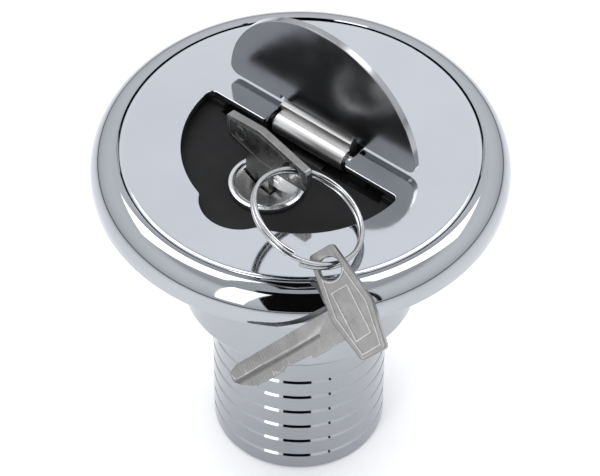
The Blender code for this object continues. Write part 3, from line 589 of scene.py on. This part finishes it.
def make_cap_insert():
    insert = turned("plastic_insert", insert_profile(), 160, closed=False)
    top = INSERT_TOP + 0.001
    pocket_gap = 0.0018
    pocket = half_round(OPENING_R + pocket_gap, CHORD_Y - 0.0006, CORNER_R)
    cutters = [plate("pocket", [with_lobe(pocket, LOBE_Y, LOBE_R + pocket_gap)], 0.0048, top)]
    # the hinge's trench, with an ear left standing on each side of the knuckle
    ear_in, ear_out, shallow = 0.0113, 0.0156, 0.0024
    front, rear, half = 0.0004, 0.0094, 0.0215
    cutters.append(block("trench_middle", (-ear_in, front, 0.0006), (ear_in, rear, top)))
    cutters.append(block("trench_front", (-half, front - 0.001, shallow), (half, 0.0024, top + 0.0001)))
    cutters.append(block("trench_left", (-half, front, shallow), (-ear_out, rear, top + 0.0002)))
    cutters.append(block("trench_right", (ear_out, front, shallow), (half, rear, top + 0.0003)))
    slot_half, slot_end = PIN_R + 0.0002, PIN_HALF + 0.0003
    low, high = (-slot_end, PIN_Y - slot_half, PIN_Z), (slot_end, PIN_Y + slot_half, top + 0.0004)
    cutters.append(block("pin_slot", low, high))
    cutters.append(along_pin(rod("pin_bed", slot_half, -slot_end, slot_end, 48)))
    hole = rod("lock_hole", 0.0073, -0.002, 0.0058, 96)
    cutters.append(moved(hole, Matrix.Translation((0.0, LOCK_Y, 0.0))))
    seat = [(0.0, top), (0.0017, top), (0.0017, 0.0047), (0.0030, 0.0047), (0.0030, 0.0019), (0.0, 0.0019)]
    for i in range(STUDS):
        place = on_circle(STUD_CIRCLE_R, 90.0 + 120.0 * i)
        cutters.append(moved(turned(f"nut_seat_{i}", seat, 48, closed=False), place))
    combined(insert, cutters)
    lugs = []
    for side in LUG_ANGLES:
        lug = sector(0.0203, 0.0236, side, LUG_HALF_ANGLE)
        lugs.append(plate(f"lug_{int(side)}", [lug], -0.0130, -0.0100))
    combined(insert, lugs, "UNION")
    finished(insert, BLACK_PLASTIC, "cap", "cap_insert", SHARP_INSERT)


def make_seal():
    middle_r, middle_z, cord_r = 0.02295, -0.0023, 0.00124
    section = [(middle_r + x, middle_z - y) for x, y in circle((0, 0), cord_r, 20)]
    seal = turned("seal_ring", section, 128)
    finished(seal, RUBBER, "cap_seal", "cap_seal", SHARP_SEAL)


def make_flap_plate():
    """The half-round plate, upright, with a small relief cut on each side of its tab."""
    chord, relief_wide, relief_high = 0.0007, 0.0010, 0.0012
    relief = []
    for edge, side in ((TAB_X[1], 1), (TAB_X[0], -1)):
        outer, head = edge + side * relief_wide, FLAP_LOW + relief_high
        slot = [(outer, FLAP_LOW), (outer, head), (edge, head), (edge, FLAP_LOW)]
        relief += slot if side == 1 else slot[::-1]
    standing = [(x, FLAP_LOW + chord - y) for x, y in half_round(FLAP_R, chord, 0.0022)]
    flap = plate("flap_plate", [standing + relief], 0.0, FLAP_T, 0.00018)
    return moved(flap, Matrix(((1, 0, 0, 0), (0, 0, -1, FLAP_BACK), (0, 1, 0, 0), (0, 0, 0, 1))))


def make_knuckle():
    """The tab below the plate, rolled round the pin. It is drawn in (y, z) and stood across X."""
    top = FLAP_LOW + 0.0012 + 0.0008
    fillet_r, barrel_r = 0.0016, 0.0026
    fillet = arc((FLAP_FRONT - fillet_r, FLAP_LOW + 0.0010), fillet_r, 0.0, -62.0, 14)
    barrel = arc((PIN_Y, PIN_Z), barrel_r, 78.0, 330.0, 60)
    end = [(FLAP_BACK - 0.0008, PIN_Z - 0.0008), (FLAP_BACK - 0.0002, PIN_Z - 0.0003), (FLAP_BACK, PIN_Z)]
    tab = fillet + barrel + end + [(FLAP_BACK, top), (FLAP_FRONT, top)]
    knuckle = plate("knuckle", [tab], TAB_X[0], TAB_X[1], 0.00016)
    return moved(knuckle, Matrix(((0, 0, 1, 0), (1, 0, 0, 0), (0, 1, 0, 0), (0, 0, 0, 1))))


def make_flap():
    bore_r, tab_low, tab_high = 0.0014, *TAB_X
    flap = make_flap_plate()
    combined(flap, [make_knuckle()], "UNION")
    combined(flap, [along_pin(rod("bore", bore_r, tab_low - 0.001, tab_high + 0.001, 48))])
    finished(flap, FLAP_STEEL, "flap", "flap", SHARP_FLAP)
    # the tab and its knuckle are brushed rather than polished
    flap.data.materials.append(KNUCKLE_STEEL.material)
    for face in flap.data.polygons:
        if face.center.z < FLAP_LOW + 0.0011 and tab_low - 0.0002 < face.center.x < tab_high + 0.0002:
            face.material_index = 1


# ------------------------------------------------------------ lock and keys


def make_lock_barrel():
    profile = [(0.0072, 0.0059), (0.00735, 0.0061), (0.0078, 0.0061), (0.0082, 0.0059), (0.0083, 0.0056)]
    profile += [(0.0083, 0.0051), (0.0070, 0.0051), (0.0070, -0.0148), (0.0068, -0.0150)]
    profile += [(0.0062, -0.0150), (0.00605, -0.0148), (0.00605, 0.0052), (0.0072, 0.0052)]
    barrel = turned("lock_housing", profile, 128)
    combined(barrel, [block("groove", (-0.0064, -0.0018, -0.0113), (0.0064, 0.0018, 0.0024))])
    finished(moved(barrel, LOCK_PLACE), BEZEL_CHROME, "cap", "lock_barrel")


def make_lock_plug():
    profile = [(0.0, 0.0042), (0.0023, 0.0042), (0.0026, 0.0043), (0.0063, 0.0058), (0.0066, 0.0059)]
    profile += [(0.00685, 0.0059), (0.0070, 0.00575), (0.0070, 0.0053), (0.0059, 0.0053)]
    profile += [(0.0059, -0.0152), (0.0, -0.0152)]
    plug = turned("turning_plug", profile, 128, closed=False)
    tail = block("tail", (-0.0025, -0.0025, -0.0169), (0.0025, 0.0025, -0.0147))
    combined(plug, [moved(tail, Matrix.Rotation(-KEY_TURN, 4, "Z"))], "UNION")
    cutters = [rod("tapping", 0.0014, -0.0179, -0.0139, 32)]
    cutters.append(block("keyway", (-0.00525, -0.0011, -0.0144), (0.0015, 0.0011, 0.008)))
    cutters.append(block("face_slot", (-0.0063, -0.0012, 0.0033), (0.0053, 0.0012, 0.0081)))
    wafer_pitch, slot_height = 0.0025, 0.0013
    for i in range(WAFERS):
        low = 0.0012 - wafer_pitch * i - 0.00015
        high = low + slot_height
        cutters.append(block(f"wafer_slot_{i}", (-0.0062, -0.0026, low), (0.0062, 0.0026, high)))
        cutters.append(block(f"pocket_{i}", (-0.0018, 0.0021, low), (0.0032, 0.0039, high)))
    combined(plug, cutters)
    finished(moved(plug, LOCK_PLACE), LOCK_CHROME, "lock_plug", "lock_plug")


def bow_outline():
    """The key's six-sided bow."""
    hole_end, far_end, widest = 0.0151, -0.0092, 0.0008
    half, hole_half, far_half = 0.0049, 0.0029, 0.0030
    corners = [(far_end, -far_half), (widest, -half), (hole_end, -hole_half)]
    corners += [(hole_end, hole_half), (widest, half), (far_end, far_half)]
    return eased(corners, (0.0009, 0.004, 0.0009, 0.0009, 0.004, 0.0009))


def blade_outline():
    """The blade, its bitted edge on the left."""
    top, wide = -0.0037, 0.0035
    cut_edge = [(-0.00255, -0.0122), (-0.0021, -0.0182), (-0.0027, -0.0192), (-0.0024, -0.0258)]
    tip = [(-0.0008, -0.0284), (0.0006, -0.0296), (0.0027, -0.0296), (0.0035, -0.0274)]
    return [(-wide, top), (-wide, -0.0119), *cut_edge, *tip, (wide, top)]


def ridge(name, line, width, side, closed=False):
    """A thin raised line on one face of a key's bow."""
    points = [Vector(p) for p in line]
    left, right = [], []
    for i, here in enumerate(points):
        before = points[i - 1] if i or closed else here
        after = points[(i + 1) % len(points)] if i + 1 < len(points) or closed else here
        ways = [way.normalized() for way in (here - before, after - here) if way.length > 0]
        across_line = sum((Vector((-way.y, way.x)) for way in ways), Vector((0, 0))).normalized()
        across_line *= width / 2 / max(across_line.dot(Vector((-ways[0].y, ways[0].x))), 0.3)
        left.append(tuple(here + across_line))
        right.append(tuple(here - across_line))
    low, high = sorted((side * (BOW_T / 2 - 0.00008), side * (BOW_T / 2 + RIDGE_LIFT)))
    if closed:
        return plate(name, [left, right], low, high)
    return plate(name, [left + right[::-1]], low, high)


def raised_lines():
    """A bow's lines: a frame and a collar by the hole on both faces, a panel on one, a disc on the other."""
    right = [(0.0092, -0.00255), (0.0012, -0.00370), (-0.0081, -0.00215)]
    rim_line = right + [(x, -y) for x, y in reversed(right)]
    collar = arc(BOW_HOLE, 0.00285, 112.0, 248.0, 24)
    panel = [(-0.0051, -0.00205), (-0.0049, 0.00155), (0.0060, 0.00170), (0.0060, -0.00205)]
    made = []
    for side in (1, -1):
        made.append(ridge(f"frame_{side}", rim_line, 0.00024, side))
        made.append(ridge(f"boss_{side}", collar, 0.00026, side))
    made.append(ridge("panel", panel, 0.00026, -1, closed=True))
    made.append(ridge("disc", circle((-0.0050, 0.0), 0.0017, 40), 0.00024, 1, closed=True))
    return made


def milled_cuts():
    """The blade's grooves along its faces and the fine marks across its edges."""
    made = []
    mark_half, mark_pitch, first_mark = 0.00010, 0.00066, -0.0134
    for side in (1, -1):
        face = side * BLADE_T / 2
        channel = block(f"channel_{side}", (-0.00042, -0.0310, -0.00042), (0.00042, -0.0084, 0.00042))
        on_edge = Matrix.Diagonal((1.0, 1.0, 0.55, 1.0)) @ Matrix.Rotation(math.pi / 4, 4, "Y")
        moved(channel, Matrix.Translation((-0.00008, 0.0, face)) @ on_edge)
        made.append(channel)
        low, high = sorted((face - side * 0.00007, face + side * 0.0005))
        for i in range(24):
            y = first_mark - mark_pitch * i
            near, far = y - mark_half, y + mark_half
            made.append(block(f"mark_{side}_{i}", (0.0009, near, low), (0.0040, far, high)))
            if i > 5:
                made.append(block(f"cut_{side}_{i}", (-0.0040, near, low), (-0.0009, far, high)))
    return made


def make_key(name):
    """A stamped key, and the indexes of the faces on top of its raised lines."""
    key = plate(name, [bow_outline(), circle(BOW_HOLE, 0.00245, 64)], -BOW_T / 2, BOW_T / 2, 0.00020)
    blade = plate("blade", [blade_outline()], -BLADE_T / 2, BLADE_T / 2, 0.00010, 1)
    combined(key, [blade] + raised_lines(), "UNION")
    combined(key, milled_cuts())
    # the tops of the raised lines, which later get the painted highlight
    highlight_faces = [face.index for face in key.data.polygons if abs(face.center.z) > BOW_T / 2 + 0.00006]
    return key, highlight_faces


def brighten(key, faces):
    """The tops of the raised lines get a lighter, glossier nickel than the rest of the key: a painted
    highlight along the lines.
    """
    key.data.materials.append(HIGHLIGHT_NICKEL.material)
    for index in faces:
        key.data.polygons[index].material_index = 1


def make_keys():
    key, highlight_faces = make_key("key_in_lock")
    stand = LOCK_PLACE @ Matrix.Translation((KEY_X, 0.0, KEY_Z)) @ Matrix.Rotation(math.pi / 2, 4, "X")
    finished(moved(key, stand), NICKEL, "lock_key", "lock_key")
    brighten(key, highlight_faces)
    spare, highlight_faces = make_key("key_on_ring")
    up = (SPARE_UP - SPARE_HOLE_WAY * SPARE_UP.dot(SPARE_HOLE_WAY)).normalized()
    turn = Matrix((SPARE_HOLE_WAY, up, SPARE_HOLE_WAY.cross(up))).transposed().to_4x4()
    moved(spare, Matrix.Translation(SPARE_AT) @ turn)
    finished(spare, NICKEL, "spare_key", "spare_key")
    brighten(spare, highlight_faces)


def make_key_ring():
    """Two turns of round wire side by side, its ends cut square."""
    curve = bpy.data.curves.new("split_ring", "CURVE")
    curve.dimensions = "3D"
    curve.bevel_depth = RING_WIRE_R
    curve.bevel_resolution = 5
    curve.use_fill_caps = True
    per_turn = 128
    spline = curve.splines.new("POLY")
    spline.points.add(2 * per_turn - 4)
    for i, point in enumerate(spline.points):
        angle = 2 * math.pi * i / per_turn
        rise = RING_STEP * (i / per_turn - 1.0)
        point.co = (RING_R * math.cos(angle), RING_R * math.sin(angle), rise, 1.0)
    guide = new_object("ring_guide", curve)
    mesh = evaluated_mesh(guide)
    bpy.data.objects.remove(guide)
    weld(mesh)
    ring = new_object("split_ring", mesh)
    side = RING_NORMAL.cross(Vector((0, 0, 1))).normalized()
    turn = Matrix((side, RING_NORMAL.cross(side), RING_NORMAL)).transposed().to_4x4()
    moved(ring, Matrix.Translation(RING_CENTRE) @ turn)
    finished(ring, RING_STEEL, "key_ring", "key_ring")


# -------------------------------------------- CAD pieces that keep their shape

KEPT = {
    "hinge_pin": SATIN_STEEL,
    "flap_spring": DARK_SPRING,
    "lock_nut": SATIN_STEEL,
    "lock_cam": SATIN_STEEL,
    "cam_washer": SATIN_STEEL,
    "cam_screw": SATIN_STEEL,
}
KEPT.update({f"cover_nut_{i}": SATIN_STEEL for i in range(1, STUDS + 1)})
KEPT.update({f"wafer_{i}": BRASS for i in range(1, WAFERS + 1)})
KEPT.update({f"wafer_spring_{i}": SPRING_STEEL for i in range(1, WAFERS + 1)})


def dress_cad_nodes():
    """Gives the small CAD pieces their surfaces and leaves their shapes alone."""
    for name, surface in KEPT.items():
        node = NODES[name]
        node.data.materials.clear()
        node.data.materials.append(surface.material)


# ---------------------------------------------------- floor, light and camera


def facing_middle(at):
    """The rotation that turns an object at this place towards the origin."""
    return (-Vector(at)).to_track_quat("-Z", "Y").to_euler()


def area_light(name, at, size, power):
    """A rectangular lamp that faces the origin."""
    light = bpy.data.lights.new(name, "AREA")
    light.shape = "RECTANGLE"
    light.size, light.size_y = size
    light.energy = power
    obj = new_object(name, light)
    obj.location = at
    obj.rotation_euler = facing_middle(at)
    return obj


def flat_sheet(name, half_x, half_y):
    mesh = bpy.data.meshes.new(name)
    corners = [(-half_x, -half_y, 0), (half_x, -half_y, 0), (half_x, half_y, 0), (-half_x, half_y, 0)]
    mesh.from_pydata(corners, [], [(0, 1, 2, 3)])
    return new_object(name, mesh)


def make_stage():
    floor = flat_sheet("floor", FLOOR_HALF, FLOOR_HALF)
    floor.location.z = TAIL_BOTTOM - FLOOR_GAP
    surface = Nodes("floor_white", (0.93, 0.93, 0.93), 0.0, 0.75)
    blotches = surface.noise(3.0, 2.0)
    surface.set("Base Color", surface.ramp(blotches, (0.925, 0.925, 0.93), (0.935, 0.935, 0.94)))
    floor.data.materials.append(surface.material)


def make_world():
    """A light tent: pale all round, darker overhead, with a dark line at the horizon."""
    world = bpy.data.worlds.new("studio")
    SCENE.world = world
    world.use_nodes = True
    tree = world.node_tree
    background = tree.nodes["Background"]
    coordinates = tree.nodes.new("ShaderNodeTexCoord")
    split = tree.nodes.new("ShaderNodeSeparateXYZ")
    ramp = tree.nodes.new("ShaderNodeValToRGB")
    tree.links.new(coordinates.outputs["Generated"], split.inputs["Vector"])
    tree.links.new(split.outputs["Z"], ramp.inputs["Fac"])
    tree.links.new(ramp.outputs["Color"], background.inputs["Color"])
    stops = ramp.color_ramp.elements
    stops[0].position, stops[0].color = 0.0, HORIZON
    stops[1].position, stops[1].color = 1.0, ZENITH
    for position, level in TENT:
        stop = stops.new(position)
        stop.color = (level * 0.985, level, level * 1.03, 1.0)


def from_camera(right, near, height):
    """A place by its distance to the camera's right, towards the camera, and up."""
    sine, cosine = math.sin(CAMERA_AZIMUTH), math.cos(CAMERA_AZIMUTH)
    return Vector((cosine, sine, 0)) * right + Vector((sine, -cosine, 0)) * near + Vector((0, 0, height))


def dark_card(name, at, size):
    """A black card beside the lens, seen only where the chrome mirrors it."""
    card = flat_sheet(name, size[0] / 2, size[1] / 2)
    card.location = at
    card.rotation_euler = facing_middle(at)
    card.visible_camera = False
    card.visible_shadow = False
    card.visible_diffuse = False
    surface = Nodes(name, (0.004, 0.004, 0.004), 0.0, 0.9)
    surface.set("Specular IOR Level", 0.0)
    card.data.materials.append(surface.material)


def make_lights():
    overhead_size = (0.30, 0.34)
    area_light("overhead_left", from_camera(-0.26, -0.17, 0.60), overhead_size, OVERHEAD_POWER)
    area_light("overhead_right", from_camera(0.26, -0.17, 0.60), overhead_size, OVERHEAD_POWER)
    area_light("beside_lens", from_camera(-0.335, 0.53, 0.44), (0.20, 0.75), BESIDE_LENS_POWER)
    fill = area_light("floor_fill", (0.0, 0.0, 1.6), (1.6, 1.6), FLOOR_POWER)
    fill.visible_glossy = False
    dark_card("lens_card", from_camera(-0.02, 0.63, 0.50), (0.42, 1.10))
    dark_card("side_card", from_camera(0.42, 0.56, 0.45), (0.035, 0.90))
    dark_card("roof_card", from_camera(0.0, -0.14, 0.62), (0.10, 0.36))


def make_camera():
    level, height = math.cos(CAMERA_ELEVATION), math.sin(CAMERA_ELEVATION)
    away = Vector((math.sin(CAMERA_AZIMUTH) * level, -math.cos(CAMERA_AZIMUTH) * level, height))
    place = CAMERA_ORBIT + away * CAMERA_DISTANCE
    camera = bpy.data.cameras.new("camera")
    camera.sensor_width = SENSOR_WIDTH
    camera.lens = LENS
    camera.clip_start = 0.05
    obj = new_object("camera", camera)
    obj.location = place
    turn = (CAMERA_AIM - place).to_track_quat("-Z", "Y").to_matrix()
    obj.rotation_euler = (turn @ Matrix.Rotation(CAMERA_ROLL, 3, "Z")).to_euler()
    SCENE.camera = obj


SCENE.view_settings.view_transform = "Standard"
make_deck_body()
make_cap_cover()
make_cap_insert()
make_seal()
make_flap()
make_lock_barrel()
make_lock_plug()
make_keys()
make_key_ring()
dress_cad_nodes()
make_stage()
make_world()
make_lights()
make_camera()

bpy.context.view_layer.update()
